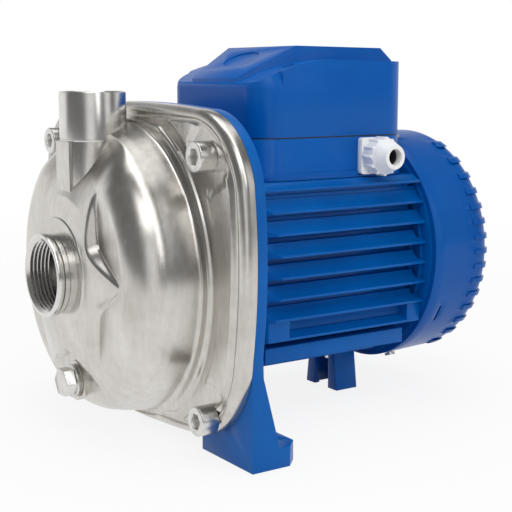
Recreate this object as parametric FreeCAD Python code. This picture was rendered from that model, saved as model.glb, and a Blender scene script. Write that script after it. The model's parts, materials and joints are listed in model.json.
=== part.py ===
import FreeCAD, Part
import math
import os

# Close-coupled centrifugal pump: pressed stainless casing, blue finned motor.
# X runs along the shaft from the suction port to the fan, +Z is up, millimetres.
# The origin lies on the floor, midway between the bolt holes of the two front feet.

# Driving dimensions of the pump end
shaft_height = 94.0
foot_hole_x = 20.0           # front foot holes, behind the joint face of the casing
suction_reach = 64.0         # joint face to suction face
suction_radius = 23.5
suction_bore = 19.5          # 1 1/4 inch port
disc_reach = 54.0            # raised disc round the suction port
disc_radius = 31.8
bowl_radius = 84.0
bowl_depth = 50.0            # joint face to the front of the bowl
sheet = 2.0
port_x = 30.0                # discharge axis, in front of the joint face
port_radius = 18.8
port_bore = 15.15            # 1 inch port
port_top = 101.5             # above the shaft
port_collar = 74.0
neck_radius = 19.4
lobe_count = 6               # lens-shaped flats pressed between the lobes of the bowl
lobe_reach = 55.0
lobe_radius = 16.0           # radius of the pressing tool
lobe_depth = 2.8
lobe_tilt = 40.0
lobe_back = 4.5
lobe_half = 36.0
lobe_taper = 4.0
strip_half = 8.6             # flat strip from the face up to the discharge collar
strip_reach = 49.2
drain_x = 45.0
drain_z = 63.0
drain_boss_radius = 11.5
neck_ring_outer = 24.0

# Casing flange
flange_half = 121.0
flange_top = 95.5
flange_bottom = 88.5
flange_face = 8.0
screw_y = flange_half - 32.0
screw_z = flange_bottom - 19.0
screw_size = 10.0
rim_round = 5.5              # rolled outer edge
ring_radius = bowl_radius + 7.0
ring_step = 2.2
land_inner = 98.0            # raised land beside the bowl
land_inset = 8.0
land_step = 1.4
seat_radius = 19.0

# Impeller and seal
impeller_radius = 62.0
impeller_width = 5.0
impeller_back = 14.0
eye_radius = 20.0
vane_count = 6
vane_thickness = 1.6
shroud = 1.2
shaft_radius = 7.0
running_gap = 0.3
fit_gap = 0.05

# Motor
adapter_thickness = 6.0
boss_end = adapter_thickness + 7.0   # screw bosses behind the bracket
frame_start = 46.0
frame_length = 112.0
bore_radius = 52.0
frame_wall = 5.0
fin_reach = 68.0
fin_top = 46.5               # lip of the top fin, above the shaft
fin_pitch = 12.4
fin_count = 8
fin_depth = 8.5
fin_lip = 1.4
fin_nose = 7.0
flank_half = 54.0            # flat sides behind the fins, with the tie rods inside
rail_half = 58.0
rod_height = 38.1
shield_radius = 64.0
screen_radius = 71.5
ear_radius = 5.5
frame_end = frame_start + frame_length
core_start = frame_start + 24.0
core_length = frame_length - 50.0   # leaves room for the winding ends
core_end = core_start + core_length
air_gap = 0.35
rotor_radius = 29.0
bearing_width = 12.0
bearing_radius = 20.0
bearing_inner = 8.5
bearing_start = 20.0         # front bearing, behind the joint face
fin_end = frame_end + 4.0
cover_radius = 75.5
cover_start = frame_end + 5.0
cover_length = 51.0
cover_wall = 1.8
cover_edge = 14.0
grille_bars = 15
grille_pitch = 9.4
grille_radius = 67.0
bar_width = 3.0
bar_proud = 1.1
fan_radius = 62.0
fan_blades = 9

# Feet
foot_outer = flange_half - 5.0
foot_width = 50.0
foot_hole_y = foot_outer - 18.0
foot_hole_radius = 4.75
pad_height = 11.0
pad_reach = 31.5
rear_foot_x = frame_end - 25.0
rear_foot_length = 17.0
rear_foot_width = 33.0

# Terminal box
box_start = frame_start + 2.0
box_end = frame_end + 1.0
box_half = 52.0
box_floor = 50.0             # above the shaft
box_deck = 61.0              # top of the box floor
box_seam = 74.5
box_shoulder = 119.5
box_ridge = 127.5
box_front = 107.0            # front edge of the deck
dome_height = 20.0
ridge_half = 37.0
ridge_nose = 25.0
box_corner = 16.0
box_wall = 2.6
gasket = 0.8
capacitor_radius = 15.5
capacitor_start = box_start + 38.0
capacitor_length = box_end - box_start - 56.0    # clear of the lid screws at the back
capacitor_side = box_half - 28.0

# Cable gland
gland_x = box_end - 29.0
gland_height = 62.5          # above the shaft
gland_bore = 4.9

joint = -foot_hole_x
axis_x = FreeCAD.Vector(1, 0, 0)
axis_y = FreeCAD.Vector(0, 1, 0)
axis_z = FreeCAD.Vector(0, 0, 1)
centre = FreeCAD.Vector(joint, 0, shaft_height)


def vec(x, y, z):
    """A point given from the joint face, the shaft plane and the shaft height."""
    return FreeCAD.Vector(joint + x, y, shaft_height + z)


def rod(x0, x1, radius, y=0.0, z=0.0):
    return Part.makeCylinder(radius, x1 - x0, vec(x0, y, z), axis_x)


def ring(x0, x1, inner, outer, y=0.0, z=0.0):
    return rod(x0, x1, outer, y, z).cut(rod(x0 - 1, x1 + 1, inner, y, z))


def block(x0, x1, y0, y1, z0, z1):
    return Part.makeBox(x1 - x0, y1 - y0, z1 - z0, vec(x0, y0, z0))


def turned(points):
    """A solid of revolution about the shaft from (x, radius) corners."""
    corners = [vec(x, 0, r) for x, r in points]
    face = Part.Face(Part.makePolygon(corners + corners[:1]))
    return face.revolve(centre, axis_x, 360)


def fused(shapes):
    first = shapes[0]
    return first.multiFuse(shapes[1:]).removeSplitter() if len(shapes) > 1 else first


def grouped(shapes):
    return Part.makeCompound(shapes)


def rounded(shape, radius, wanted):
    """Fillet the edges that the test picks."""
    edges = [edge for edge in shape.Edges if wanted(edge)]
    return shape.makeFillet(radius, edges)


def along(edge, direction, low=0.0):
    """True for a straight edge along a direction, longer than low."""
    if len(edge.Vertexes) != 2 or edge.Length <= low:
        return False
    run = edge.Vertexes[1].Point.sub(edge.Vertexes[0].Point)
    return abs(abs(run.dot(direction)) - edge.Length) < 1e-6


def hexagon(x0, x1, across, y=0.0, z=0.0):
    radius = across / math.sqrt(3)
    turns = [math.radians(60 * k) for k in range(7)]
    corners = [vec(x0, y + radius * math.cos(t), z + radius * math.sin(t)) for t in turns]
    return Part.Face(Part.makePolygon(corners)).extrude(axis_x * (x1 - x0))


def turn(shape, degrees):
    """Turn a shape about the shaft."""
    copy = shape.copy()
    copy.rotate(centre, axis_x, degrees)
    return copy


def around(shape, count, start=0.0):
    return [turn(shape, start + 360.0 * k / count) for k in range(count)]


def arc(a, b, c):
    return Part.Arc(a, b, c).toShape()


def flange_outline(x, inset):
    """Rounded four-lobed outline of the casing flange, moved in by inset, as a closed wire at x."""
    half, top, low = flange_half - inset, flange_top - inset, flange_bottom - inset
    side = [
        ((-half + 50, top - 2.5), (0, top), (half - 50, top - 2.5)),
        ((half - 50, top - 2.5), (half - 18, top - 14), (half - 3, top - 38)),
        ((half - 3, top - 38), (half, 18), (half - 4, -low + 55)),
        ((half - 4, -low + 55), (half - 18, -low + 22), (half - 50, -low + 5)),
        ((half - 50, -low + 5), (0, -low), (-half + 50, -low + 5)),
        ((-half + 50, -low + 5), (-half + 18, -low + 22), (-half + 4, -low + 55)),
        ((-half + 4, -low + 55), (-half, 18), (-half + 3, top - 38)),
        ((-half + 3, top - 38), (-half + 18, top - 14), (-half + 50, top - 2.5)),
    ]
    edges = [arc(vec(x, *a), vec(x, *b), vec(x, *c)) for a, b, c in side]
    return Part.Wire(edges)


def flange_plate(x0, x1, inset):
    """Plate with the flange outline, moved in by inset."""
    return Part.Face(flange_outline(x0, inset)).extrude(axis_x * (x1 - x0))


def screw_places():
    return [(sy * screw_y, sz * screw_z) for sy in (-1, 1) for sz in (-1, 1)]


def bowl_body(inset):
    """Outside of the pressed bowl, or its inside when inset is the sheet."""
    front = -bowl_depth + inset
    radius = bowl_radius - inset
    disc = -disc_reach + inset
    edges = [
        Part.makeLine(vec(0, 0, 0), vec(0, 0, radius)),
        Part.makeLine(vec(0, 0, radius), vec(-22, 0, radius - 2)),
        arc(vec(-22, 0, radius - 2), vec(front + 11, 0, radius - 8.5), vec(front + 3.5, 0, radius - 23)),
        Part.makeLine(vec(front + 3.5, 0, radius - 23), vec(front, 0, disc_radius + 3.5)),
        Part.makeLine(vec(front, 0, disc_radius + 3.5), vec(disc, 0, disc_radius - inset)),
        Part.makeLine(vec(disc, 0, disc_radius - inset), vec(disc, 0, 0)),
        Part.makeLine(vec(disc, 0, 0), vec(0, 0, 0)),
    ]
    return Part.Face(Part.Wire(edges)).revolve(centre, axis_x, 360)


def lobe_cutters(inset):
    """Barrel-shaped tools laid across the shoulder, which press lens-shaped flats into it."""
    radius = lobe_radius - inset
    end = radius - lobe_taper
    tilt = math.radians(lobe_tilt)
    out = lobe_radius - lobe_depth
    top = FreeCAD.Vector(0, 0, radius)
    left = FreeCAD.Vector(0, -lobe_half, end)
    right = FreeCAD.Vector(0, lobe_half, end)
    foot_left = FreeCAD.Vector(0, -lobe_half, 0)
    foot_right = FreeCAD.Vector(0, lobe_half, 0)
    outline = [arc(left, top, right), Part.makeLine(right, foot_right),
               Part.makeLine(foot_right, foot_left), Part.makeLine(foot_left, left)]
    barrel = Part.Face(Part.Wire(outline)).revolve(FreeCAD.Vector(0, 0, 0), axis_y, 360)
    back = -bowl_depth + lobe_back - out * math.cos(tilt)
    barrel.translate(vec(back, 0, lobe_reach + out * math.sin(tilt)))
    return around(barrel, lobe_count)


def rolled_plate(x0, x1, inset, radius):
    """Plate with the flange outline and a rounded front edge, built up in bands."""
    sections = []
    for degrees in (0, 30, 60, 90):
        t = math.radians(degrees)
        sections.append(flange_outline(x0 + radius * (1 - math.cos(t)), inset + radius * (1 - math.sin(t))))
    sections.append(flange_outline(x1, inset))
    return Part.makeLoft(sections, True, True)


def seat_pockets():
    """Flat seats round the screw heads, left out of the raised land."""
    return [rod(-flange_face - 5, 5, seat_radius, y, z) for y, z in screw_places()]


def pump_casing():
    outside = bowl_body(0.0)
    inside = bowl_body(sheet)
    outside = outside.cut(lobe_cutters(0.0))
    inside = inside.cut(lobe_cutters(-sheet))
    neck = Part.makeCylinder(neck_radius, port_collar - 30, vec(-port_x, 0, 30), axis_z)
    strip = block(-strip_reach, -port_x, -strip_half, strip_half, 42, port_collar)
    plate = rolled_plate(-flange_face, 0, 0, rim_round)
    step = rod(-flange_face - ring_step, -flange_face + 1, ring_radius)
    step = step.common(flange_plate(-flange_face - ring_step, -flange_face + 1, land_inset))
    land = flange_plate(-flange_face - land_step, -flange_face + 1, land_inset)
    land = land.cut([rod(-flange_face - 5, 5, land_inner)] + seat_pockets())
    shell = fused([outside, neck, strip, plate, step, land])
    shell = shell.cut(inside)
    shell = shell.cut(Part.makeCylinder(neck_radius - sheet, 70, vec(-port_x, 0, 45), axis_z))
    shell = shell.cut(Part.makeCylinder(port_radius + fit_gap, 60, vec(-port_x, 0, port_collar), axis_z))
    shell = shell.cut(rod(-suction_reach, 0, suction_radius - 2.0))
    hollow = rolled_plate(-flange_face + sheet, 5, sheet, rim_round - sheet)
    shell = shell.cut(hollow)
    shell = shell.cut([rod(-flange_face - 5, 5, screw_size / 2 + 0.5, y, z) for y, z in screw_places()])
    return shell.cut(rod(-drain_x - 10, -drain_x + 20, drain_boss_radius, 0, -drain_z))


def suction_socket():
    body = turned([
        (-suction_reach, suction_bore + 1.6), (-suction_reach, suction_radius - 1),
        (-suction_reach + 1, suction_radius), (-suction_reach + 4.5, suction_radius),
        (-suction_reach + 5, suction_radius - 1.6), (-suction_reach + 7.5, suction_radius - 1.6),
        (-suction_reach + 8, suction_radius - 0.4), (-disc_reach, suction_radius - 0.4),
        (-disc_reach, suction_radius - 2.0), (-disc_reach + 16, suction_radius - 2.0),
        (-disc_reach + 16, suction_bore), (-suction_reach + 2, suction_bore),
    ])
    return body


def neck_ring():
    """Ring round the impeller eye, pressed on the inner end of the suction socket."""
    return ring(-disc_reach + 12, -disc_reach + 23, suction_radius - 2.0, neck_ring_outer)


def discharge_socket():
    body = Part.makeCylinder(port_radius, port_top - port_collar, vec(-port_x, 0, port_collar), axis_z)
    body = rounded(body, 0.8, lambda edge: edge.BoundBox.ZMin > shaft_height + port_top - 0.1)
    spigot = Part.makeCylinder(neck_radius - sheet, 6, vec(-port_x, 0, port_collar - 6), axis_z)
    bore = Part.makeCylinder(port_bore, 60, vec(-port_x, 0, port_collar - 10), axis_z)
    lead = Part.makeCone(port_bore, port_bore + 1.8, 2.0, vec(-port_x, 0, port_top - 2.0), axis_z)
    return fused([body, spigot]).cut(bore).cut(lead)


def drain_plug():
    seat = -drain_x
    head = hexagon(seat - 9, seat - 1.2, 15, 0, -drain_z)
    collar = rod(seat - 3, seat - 1.2, 9.6, 0, -drain_z)
    stem = rod(seat - 1.2, seat + 9, 8.2, 0, -drain_z)
    return fused([head, collar, stem])


def drain_boss():
    seat = -drain_x
    body = rod(seat, seat + 12, drain_boss_radius, 0, -drain_z)
    return body.cut(rod(seat - 1, seat + 13, 8.35, 0, -drain_z))


def casing_screws():
    screws = []
    seat = -flange_face
    for y, z in screw_places():
        head = rod(seat - screw_size, seat, screw_size * 0.8, y, z)
        head = rounded(head, 0.8, lambda edge: abs(edge.CenterOfMass.x - joint - seat + screw_size) < 0.1
                       if edge.Closed else False)
        socket = hexagon(seat - screw_size - 1, seat - screw_size + 5, 8, y, z)
        shank = rod(seat, boss_end - 1, screw_size / 2, y, z)
        screws.append(fused([head, shank]).cut(socket))
    return grouped(screws)


def seal_disc():
    """Back plate of the wet end, clamped between the casing flange and the adapter."""
    step = bowl_radius - sheet - 4.8
    plate = flange_plate(-flange_face + sheet, -flange_face + 2 * sheet, rim_round + 1)
    raised = rod(-flange_face - 2, -flange_face + sheet, step)
    hub = rod(-flange_face - 2, 7, 17)
    body = fused([plate, raised, hub])
    body = body.cut(rod(-flange_face + 0.2, -flange_face + 2 * sheet + 1, step - sheet).cut(
        rod(-flange_face - 3, 8, 17)))
    body = body.cut(rod(-flange_face - 3, 5, 14.55)).cut(rod(4, 8, 9.5))
    for y, z in screw_places():
        body = body.cut(rod(-20, 20, screw_size / 2 + 0.5, y, z))
    return body


def casing_o_ring():
    major = bowl_radius - sheet - 2.8
    return Part.makeTorus(major, 1.7, vec(-flange_face + sheet - 2.1, 0, 0), axis_x)


def vane(inset, x0, x1):
    """One backward-curved impeller vane between the shrouds."""
    start = 21.0
    count = 7
    outer_side = []
    inner_side = []
    for k in range(count):
        share = k / (count - 1)
        radius = start + (impeller_radius - inset - start) * share
        angle = math.radians(-115.0 * share ** 0.8)
        offset = vane_thickness / 2 / radius
        outer_side.append(vec(x0, radius * math.cos(angle + offset), radius * math.sin(angle + offset)))
        inner_side.append(vec(x0, radius * math.cos(angle - offset), radius * math.sin(angle - offset)))
    first = Part.BSplineCurve()
    first.interpolate(outer_side)
    second = Part.BSplineCurve()
    second.interpolate(inner_side)
    edges = [first.toShape(), Part.makeLine(outer_side[-1], inner_side[-1]),
             second.toShape(), Part.makeLine(inner_side[0], outer_side[0])]
    return Part.Face(Part.Wire(Part.__sortEdges__(edges))).extrude(axis_x * (x1 - x0))


def impeller():
    back = -impeller_back
    front = back - shroud - impeller_width
    eye_lip = front - 14
    rear_plate = rod(back - shroud, back, impeller_radius)
    hub = turned([(back, shaft_radius - 1 + fit_gap), (back, 12), (back - shroud, 16),
                  (back - 8, 11.5), (back - 13, 11), (back - 13, shaft_radius - 1 + fit_gap)])
    cover = turned([
        (front, impeller_radius), (front - shroud, impeller_radius), (front - shroud - 2.5, 40),
        (front - shroud - 6, 28), (front - shroud - 8.8, eye_radius + shroud),
        (eye_lip, eye_radius + shroud), (eye_lip, eye_radius), (front - 8.8, eye_radius),
        (front - 6.2, 26.5), (front - 2.5, 40),
    ])
    room = turned([
        (back - 0.6, 0), (back - 0.6, impeller_radius), (front - shroud / 2, impeller_radius),
        (front - shroud / 2 - 2.5, 40), (front - shroud / 2 - 6, 27.5), (front - 7, 21), (front - 7, 0),
    ])
    blades = [blade.common(room) for blade in around(vane(0.0, front - 12, back - 0.6), vane_count)]
    body = fused([rear_plate, hub, cover] + blades)
    return body.cut(rod(eye_lip - 1, 1, shaft_radius - 1 + fit_gap))


def impeller_washer():
    end = -impeller_back - 13
    return ring(end - 2, end, 5.1, 10)


def impeller_nut():
    end = -impeller_back - 15
    body = hexagon(end - 8, end, 17).common(turned([
        (end, 0), (end, 9.8), (end - 6.5, 9.8), (end - 8, 8.3), (end - 8, 0)]))
    return body.cut(rod(end - 9, end + 1, 5.05))


def seal_rotor():
    start = -impeller_back
    return ring(start + 0.02, start + 4.5, shaft_radius + fit_gap, 11)


def seal_spring():
    """Wave-like spring barrel behind the rotating seal face, plain collar form."""
    start = -impeller_back + 4.5
    return ring(start + 0.02, start + 4.5, shaft_radius + 0.8, 9.6)


def seal_face():
    start = -impeller_back + 9
    return ring(start + 0.04, start + 3, shaft_radius + fit_gap, 11)


def seal_seat():
    start = -impeller_back + 12.1
    return ring(start, start + 6, shaft_radius + 0.5, 12)


def seal_seat_cup():
    start = -impeller_back + 13.1
    return ring(start, 4.95, 12.02, 14.5)


def slinger():
    return turned([(10, shaft_radius + 1.05), (10, 17), (11, 17.4), (12, 12), (15, 12),
                   (15, shaft_radius + 1.05)])


def motor_shaft():
    bearing_start = 20.0
    end = -impeller_back
    return turned([
        (end - 23, 0), (end - 23, 4.4), (end - 22.4, 5), (end - 13, 5), (end - 13, 6), (end, 6),
        (end, shaft_radius), (8, shaft_radius), (8, 8), (bearing_start, 8), (bearing_start, 8.5),
        (bearing_start + bearing_width + 2, 8.5), (bearing_start + bearing_width + 2, 10.5),
        (rear_bearing_start(), 10.5), (rear_bearing_start(), 8.5),
        (rear_bearing_start() + bearing_width, 8.5), (rear_bearing_start() + bearing_width, 6.5),
        (cover_start + 33, 6.5), (cover_start + 33.5, 6), (cover_start + 33.5, 0),
    ])


def rear_bearing_start():
    return frame_end - 10


def bearing_outer(start):
    return turned([
        (start, bearing_radius - 3.2), (start, bearing_radius - fit_gap),
        (start + bearing_width, bearing_radius - fit_gap), (start + bearing_width, bearing_radius - 3.2),
        (start + bearing_width - 3.5, bearing_radius - 3.2),
        (start + bearing_width / 2, bearing_radius - 2.2), (start + 3.5, bearing_radius - 3.2),
    ])


def bearing_race(start):
    return turned([
        (start, bearing_inner + 0.02), (start, bearing_inner + 3.2), (start + 3.5, bearing_inner + 3.2),
        (start + bearing_width / 2, bearing_inner + 2.2), (start + bearing_width - 3.5, bearing_inner + 3.2),
        (start + bearing_width, bearing_inner + 3.2), (start + bearing_width, bearing_inner + 0.02),
    ])


def bearing_balls(start):
    middle = start + bearing_width / 2
    radius = (bearing_radius + bearing_inner) / 2
    ball = Part.makeSphere(3.0, vec(middle, 0, radius))
    cage = ring(middle - 1.6, middle + 1.6, radius - 0.9, radius + 0.9)
    return fused([cage] + around(ball, 7))


def foot_shape(sign):
    """One front foot: a pillar under the flange with a sloped gusset and a bolt tab."""
    inner = foot_outer - foot_width
    low = -shaft_height
    profile = [vec(0.3, 0, -20), vec(6.5, 0, -20), vec(7.2, 0, low + 50), vec(17.5, 0, low + pad_height),
               vec(17.5, 0, low), vec(0.3, 0, low)]
    side = Part.Face(Part.makePolygon(profile + profile[:1]))
    pillar = side.extrude(axis_y * foot_width)
    pillar.translate(axis_y * inner)
    tab = block(12, pad_reach, foot_hole_y - 18, foot_outer, low, low + pad_height)
    tab = tab.makeChamfer(7.5, [edge for edge in tab.Edges if along(edge, axis_z)
                                and edge.CenterOfMass.x > joint + pad_reach - 1])
    body = fused([pillar, tab])
    relief = block(6.5, 40, inner + 5, foot_hole_y - 18.0, low - 1, -20)
    body = body.cut(relief)
    hole = Part.makeCylinder(foot_hole_radius, 60, vec(foot_hole_x, foot_hole_y, low - 1), axis_z)
    body = body.cut(hole)
    if sign < 0:
        body = body.mirror(FreeCAD.Vector(0, 0, 0), axis_y)
    return body


def motor_adapter():
    """Cast bracket: flange behind the casing, front feet, bearing seat and motor spigot."""
    low = -shaft_height
    plate = flange_plate(0.3, adapter_thickness, 0)
    register = flange_plate(-flange_face + 2 * sheet, 0.3, sheet + 0.8)
    feet = [foot_shape(-1), foot_shape(1)]
    cone = turned([(adapter_thickness - 1, 40), (adapter_thickness - 1, 78), (14, 76), (30, 64),
                   (frame_start, 62), (frame_start, bore_radius - 3), (34, bore_radius - 3), (18, 60),
                   (adapter_thickness + 2, 66)])
    spigot = ring(frame_start - 12, frame_start + 8, bore_radius - 5, bore_radius - fit_gap)
    wall = ring(30, 36, 21, bore_radius)
    start = bearing_start
    outer = bearing_radius + 6
    housing = turned([(start - 3, 17), (start - 3, outer), (start + 14, outer), (start + 14, bearing_radius),
                      (start, bearing_radius), (start, 17)])
    bridge = rod(adapter_thickness - 1, 9, 60)
    body = fused([plate, register, cone, spigot, wall, housing, bridge] + feet)
    body = body.cut(rod(-20, 10, 17.6))
    body = body.cut(block(-30, 60, -200, 200, low - 40, low))
    body = fused([body] + [rod(adapter_thickness - 1, boss_end, 9.5, y, z) for y, z in screw_places()])
    body = body.cut([rod(-20, boss_end + 1, screw_size / 2 + fit_gap, y, z) for y, z in screw_places()])
    windows = [block(8, 30, -14, 14, 20, 90), block(8, 30, -14, 14, -90, -20)]
    return body.cut([turn(window, 90) for window in windows])


def fin_half(z):
    """How far a fin reaches sideways at a height above the shaft."""
    return fin_reach - 0.0035 * z * z


def fin_place(k):
    """Height of the lip of a fin above the shaft, from the top fin down."""
    return fin_top - fin_pitch * k


def fin_row(k):
    """One pair of fins: a hollow-ground upper side that runs out to a thin lip, undercut below."""
    z = fin_place(k)
    half = fin_half(z)
    root = half - fin_depth
    under = z - fin_lip - 1.8
    crest = z + fin_pitch - 4.0
    lip_low = vec(0, half, z - fin_lip)
    lip_top = vec(0, half, z)
    high = vec(0, root, crest)
    outline = [Part.makeLine(vec(0, -root, under), vec(0, root, under)),
               Part.makeLine(vec(0, root, under), lip_low), Part.makeLine(lip_low, lip_top),
               arc(lip_top, vec(0, half - 0.72 * fin_depth, z + 0.42 * (crest - z)), high),
               Part.makeLine(high, vec(0, -root, crest)),
               arc(vec(0, -root, crest), vec(0, -half + 0.72 * fin_depth, z + 0.42 * (crest - z)),
                   vec(0, -half, z)),
               Part.makeLine(vec(0, -half, z), vec(0, -half, z - fin_lip)),
               Part.makeLine(vec(0, -half, z - fin_lip), vec(0, -root, under))]
    fin = Part.Face(Part.Wire(outline)).extrude(axis_x * (fin_end - frame_start))
    fin.translate(axis_x * frame_start)
    return fin


def end_pads():
    """Flat pads that close both ends of the lowest groove between the fins."""
    top = fin_place(fin_count - 2) - fin_lip
    low = fin_place(fin_count - 1)
    half = fin_half(low)
    return [block(frame_start, frame_start + 16, -half, half, low - 0.5, top),
            block(fin_end - 10, fin_end, -half, half, low - 0.5, top)]


def nose_cutters():
    """Slanted cuts that turn the front ends of the fins in towards the bracket."""
    reach = fin_reach + 5
    cutters = []
    for sign in (-1, 1):
        corners = [vec(frame_start - 1, sign * (fin_reach - fin_nose - 1), -80),
                   vec(frame_start + fin_nose + 6, sign * (fin_reach + 6), -80),
                   vec(frame_start - 1, sign * reach, -80)]
        wedge = Part.Face(Part.makePolygon(corners + corners[:1])).extrude(axis_z * 160)
        cutters.append(wedge)
    return cutters


def motor_frame():
    """Finned aluminium barrel with the box pedestal, side rails and foot pad."""
    barrel = ring(frame_start, frame_end, bore_radius, bore_radius + frame_wall)
    side_top = fin_place(0) + 2.0
    side_low = fin_place(fin_count - 1) - 3.0
    flank = block(frame_start, frame_end, -flank_half, flank_half, side_low, side_top)
    sides = fused([flank] + [fin_row(k) for k in range(fin_count)] + end_pads())
    sides = sides.cut(block(frame_start - 1, fin_end + 1, -80, 80, box_floor - running_gap, box_floor + 40))
    parts = [barrel, sides]
    rail = block(frame_start + 2, frame_end - 6, -rail_half, rail_half, -55, -46)
    parts.append(rail)
    for sign in (-1, 1):
        for reach in (12, 24):
            middle = sign * reach
            parts.append(block(frame_start + 4, frame_end - 2, middle - 1.6, middle + 1.6, -66, -50))
    parts.append(block(frame_start + 12, frame_end - 6, -36, 36, 30, box_deck - 3.3))
    parts.append(block(rear_foot_x - 3, rear_foot_x + rear_foot_length + 3, -20, 20, -66, -50))
    body = fused(parts)
    clear = [rod(frame_start - 10, fin_end + 10, bore_radius),
             rod(frame_end, fin_end + 10, shield_radius + running_gap),
             Part.makeCylinder(3.1, 11, vec(rear_foot_x + rear_foot_length / 2, 0, -67), axis_z)]
    clear += [rod(frame_end, fin_end + 1, ear_radius + running_gap, y, z) for y, z in rod_places()]
    return body.cut(clear + nose_cutters())


def rear_foot():
    low = -shaft_height
    top = -66.3
    half = rear_foot_width / 2
    profile = [vec(rear_foot_x, -half, low), vec(rear_foot_x, half, low), vec(rear_foot_x, half - 3.5, top),
               vec(rear_foot_x, -half + 3.5, top)]
    body = Part.Face(Part.makePolygon(profile + profile[:1])).extrude(axis_x * rear_foot_length)
    groove = block(rear_foot_x - 1, rear_foot_x + 4, -7, 7, low - 1, top - 4)
    hollow = block(rear_foot_x + 4, rear_foot_x + rear_foot_length - 3, -half + 6, half - 6, low - 1, top - 5)
    hole = Part.makeCylinder(3.3, 60, vec(rear_foot_x + rear_foot_length / 2, 0, low - 1), axis_z)
    return body.cut([groove, hollow, hole])


def rear_foot_screw():
    middle = rear_foot_x + rear_foot_length / 2
    head = Part.makeCylinder(5.0, 4, vec(middle, 0, -66.3 - 5 - 4.05), axis_z)
    shank = Part.makeCylinder(3.0, 14, vec(middle, 0, -66.3 - 5.1), axis_z)
    return fused([head, shank])


def stator_core():
    body = ring(core_start, core_end, rotor_radius + air_gap, bore_radius - fit_gap)
    slot = block(core_start - 1, core_end + 1, -2.4, 2.4, rotor_radius + 1.6, rotor_radius + 13)
    return body.cut(around(slot, 12))


def stator_windings():
    bars = block(core_start - 1, core_end + 1, -2.1, 2.1, rotor_radius + 3.6, rotor_radius + 12.7)
    ends = [ring(core_start - 14, core_start - 0.5, rotor_radius + 3, bore_radius - 4),
            ring(core_end + 0.5, core_end + 14, rotor_radius + 3, bore_radius - 4)]
    return fused(ends + around(bars, 12))


def rotor_core():
    body = ring(core_start, core_end, 10.52, rotor_radius)
    front_ring = ring(core_start - 7, core_start, 17, rotor_radius - 1)
    back_ring = ring(core_end, core_end + 7, 17, rotor_radius - 1)
    return fused([body, front_ring, back_ring])


def rear_shield():
    start = rear_bearing_start()
    end = frame_end
    barrel = bore_radius + frame_wall
    body = turned([
        (end - 6, bore_radius - 6), (end - 6, bore_radius - fit_gap), (end, bore_radius - fit_gap),
        (end, barrel), (end + 2.3, barrel), (end + 2.3, shield_radius), (end + 4.3, shield_radius),
        (end + 4.3, screen_radius), (end + 5.3, screen_radius), (end + 5.3, barrel), (end + 8, 30),
        (end + 8, 10),
        (start + bearing_width + 0.6, 10), (start + bearing_width + 0.6, bearing_radius),
        (start - 1, bearing_radius), (start - 1, 26), (end, 28), (end, bore_radius - 6),
    ])
    return body.cut([rod(end + 4.05, end + 8, 4.9, y, z) for y, z in rod_places()])


def wave_washer():
    start = rear_bearing_start() + bearing_width
    return ring(start + 0.02, start + 0.58, 14, bearing_radius - 0.4)


def rod_places():
    reach = bore_radius + frame_wall + 4.5
    side = math.sqrt(reach ** 2 - rod_height ** 2)
    return [(sy * side, sz * rod_height) for sy in (-1, 1) for sz in (-1, 1)]


def cooling_fan():
    start = cover_start + 9
    hub = ring(start, start + 20, 6.5 + fit_gap, 13)
    plate = turned([(start, 12), (start, 40), (start + 3, fan_radius - 8), (start + 5, fan_radius - 8),
                    (start + 2, 40), (start + 2, 12)])
    blade = block(start + 1, start + 22, -1.1, 1.1, 12, fan_radius)
    blade = blade.cut(turned([(start - 1, 44), (start - 1, 70), (start + 6, 70), (start + 1.5, 44)]))
    return fused([hub, plate] + around(blade, fan_blades))


def fan_clip():
    start = cover_start + 29.3
    body = ring(start, start + 1.2, 6.5 + fit_gap, 10)
    return body.cut(block(start - 1, start + 2, -1.5, 1.5, -11, 0))


def cowl_profile(inset, proud=0.0):
    """Half section of the cowl, moved in by inset or out by proud at its round back edge."""
    end = cover_start + cover_length - inset + proud
    radius = cover_radius - inset
    edge = cover_edge
    return turned_arcs(cover_start - (1 if inset else 0), radius, end, edge, proud)


def turned_arcs(start, radius, end, edge, proud):
    """Solid of revolution with a slightly tapered side and a round back edge."""
    side = radius - 1.5 + proud
    rim = radius - edge
    bend = edge * 0.2929
    middle = vec(end - bend, 0, side - bend * (side - rim) / edge)
    edges = [Part.makeLine(vec(start, 0, 0), vec(start, 0, radius)),
             Part.makeLine(vec(start, 0, radius), vec(end - edge, 0, side)),
             arc(vec(end - edge, 0, side), middle, vec(end, 0, rim)),
             Part.makeLine(vec(end, 0, rim), vec(end, 0, 0)),
             Part.makeLine(vec(end, 0, 0), vec(start, 0, 0))]
    return Part.Face(Part.Wire(edges)).revolve(centre, axis_x, 360)


def bar_heights():
    """Heights of the level bars of the grille."""
    return [grille_pitch * (k - (grille_bars - 1) / 2) for k in range(grille_bars)]


def fan_cover():
    """Drawn cowl with a round back edge and level bars across its back."""
    end = cover_start + cover_length
    outer = cowl_profile(0.0)
    inner = cowl_profile(cover_wall)
    proud = cowl_profile(0.0, bar_proud)
    bars = []
    for z in bar_heights():
        bars.append(block(end - cover_edge * 1.2, end + 5, -cover_radius, cover_radius, z - bar_width / 2,
                          z + bar_width / 2).common(proud))
    body = fused([outer] + bars).cut(inner)
    slots = []
    for z in bar_heights()[:-1]:
        low = z + bar_width / 2 + 0.9
        high = z + grille_pitch - bar_width / 2 - 0.9
        reach = math.sqrt(grille_radius ** 2 - max(abs(low), abs(high)) ** 2)
        slots.append(block(end - cover_wall - 2, end + 3, -reach, reach, low, high))
    hub = rod(end - 9, end + 9, 14)
    body = body.cut([slot.cut(hub) for slot in slots])
    vent = block(cover_start + 12, cover_start + 13.8, -6, 6, 60, cover_radius + 5)
    return body.cut(turn(vent, 121))


def cover_screw_turns():
    return (20, 160, 270)


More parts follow.
